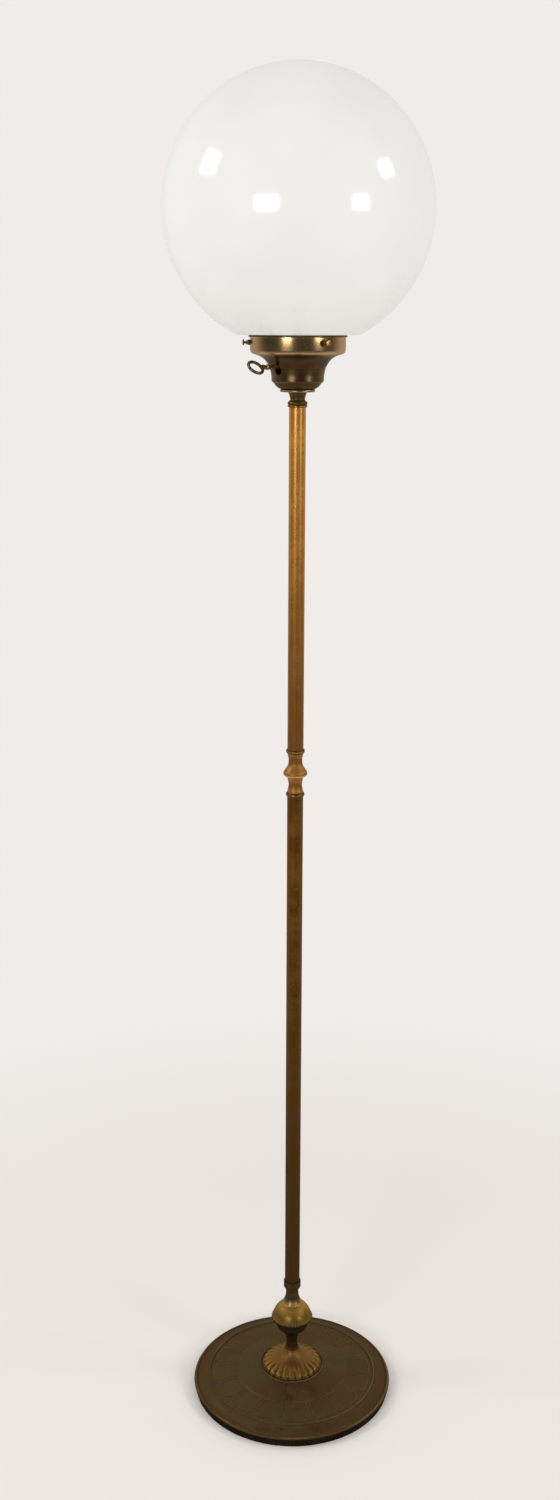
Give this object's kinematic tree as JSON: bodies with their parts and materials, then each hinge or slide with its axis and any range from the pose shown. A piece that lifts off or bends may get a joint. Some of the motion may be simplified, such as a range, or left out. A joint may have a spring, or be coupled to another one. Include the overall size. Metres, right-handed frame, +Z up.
{
  "type": "globe floor lamp",
  "caption": "Floor lamp with an opal glass globe held by thumbscrews in a spun brass gallery, on a slim tube column with turned knops and a round weighted base.",
  "frame": {"origin": "on the floor at the column's axis, under the centre of the base", "axes": "+Z up along the column, -Y towards the front as pictured, +X to the viewer's right"},
  "size_m": [0.3047, 0.3048, 1.6628],
  "materials": {
    "pan_brass": "darkened, hand-worn brass with brown and green patina",
    "tube_brass": "brushed brass tube with mottled brown lacquer",
    "cast_brass": "cast brass, bright on the high parts and dark in the hollows",
    "ball_brass": "spun brass with an olive patina",
    "turned_brass": "turned brass, aged and half polished",
    "spun_brass": "spun brass, satin with spinning lines and brown patina",
    "holder_brass": "stamped brass shell",
    "steel": "zinc-plated steel",
    "cast_iron": "rough casting",
    "felt": "dark green felt",
    "phenolic": "moulded phenolic",
    "fibre_card": "fibre card",
    "opal_glass": "white opal glass, glossy",
    "bulb_glass": "frosted inside",
    "bulb_aluminium": "rolled aluminium screw cap",
    "black_glass": "black glass insulator"
  },
  "bodies": {
    "root": {"base_pan": "pan_brass", "base_weight": "cast_iron", "felt_pad": "felt", "base_washer": "steel", "base_nut": "steel", "inlet_bushing": "phenolic", "lower_pipe": "steel", "upper_pipe": "steel", "pipe_coupler": "steel", "gadroon_foot": "cast_brass", "stem_cup": "cast_brass", "ball_top": "ball_brass", "flared_collar": "ball_brass", "lower_ferrule": "turned_brass", "lower_tube": "tube_brass", "lower_check_ring": "turned_brass", "column_break": "turned_brass", "upper_check_ring": "turned_brass", "upper_tube": "tube_brass", "top_ring": "turned_brass", "turned_neck": "turned_brass", "seat_disc": "turned_brass", "gallery": "spun_brass", "screw_bosses": "turned_brass", "socket_cap": "holder_brass", "socket_shell": "holder_brass", "socket_liner": "fibre_card", "socket_body": "phenolic", "terminal_screws": "holder_brass", "screw_shell": "holder_brass", "centre_contact": "holder_brass"},
    "key": {"key": "turned_brass", "key_spindle": "steel"},
    "thumbscrew_left": {"thumbscrew_left": "turned_brass"},
    "thumbscrew_right": {"thumbscrew_right": "turned_brass"},
    "thumbscrew_back": {"thumbscrew_back": "turned_brass"},
    "globe": {"globe": "opal_glass", "globe_neck": "opal_glass"},
    "bulb": {"bulb_cap": "bulb_aluminium", "bulb_insulator": "black_glass", "bulb_contact": "holder_brass", "bulb_glass": "bulb_glass"}
  },
  "joints": [
    {"name": "key_turn", "type": "hinge", "parent": "root", "child": "key", "pos_m": [0, 0, 1.34012], "axis": [-0.7193, -0.6947, 0], "continuous": true},
    {"name": "thumbscrew_left_slide", "type": "slide", "parent": "root", "child": "thumbscrew_left", "axis": [-0.9986, -0.0523, 0], "range_m": [0, 0.003]},
    {"name": "thumbscrew_right_slide", "type": "slide", "parent": "root", "child": "thumbscrew_right", "axis": [0.5446, -0.8387, 0], "range_m": [0, 0.003]},
    {"name": "thumbscrew_back_slide", "type": "slide", "parent": "root", "child": "thumbscrew_back", "axis": [0.454, 0.891, 0], "range_m": [0, 0.003]},
    {"name": "globe_lift", "type": "slide", "parent": "root", "child": "globe", "axis": [0, 0, 1], "range_m": [0, 0.15]},
    {"name": "bulb_lift", "type": "slide", "parent": "root", "child": "bulb", "axis": [0, 0, 1], "range_m": [0, 0.03]}
  ]
}
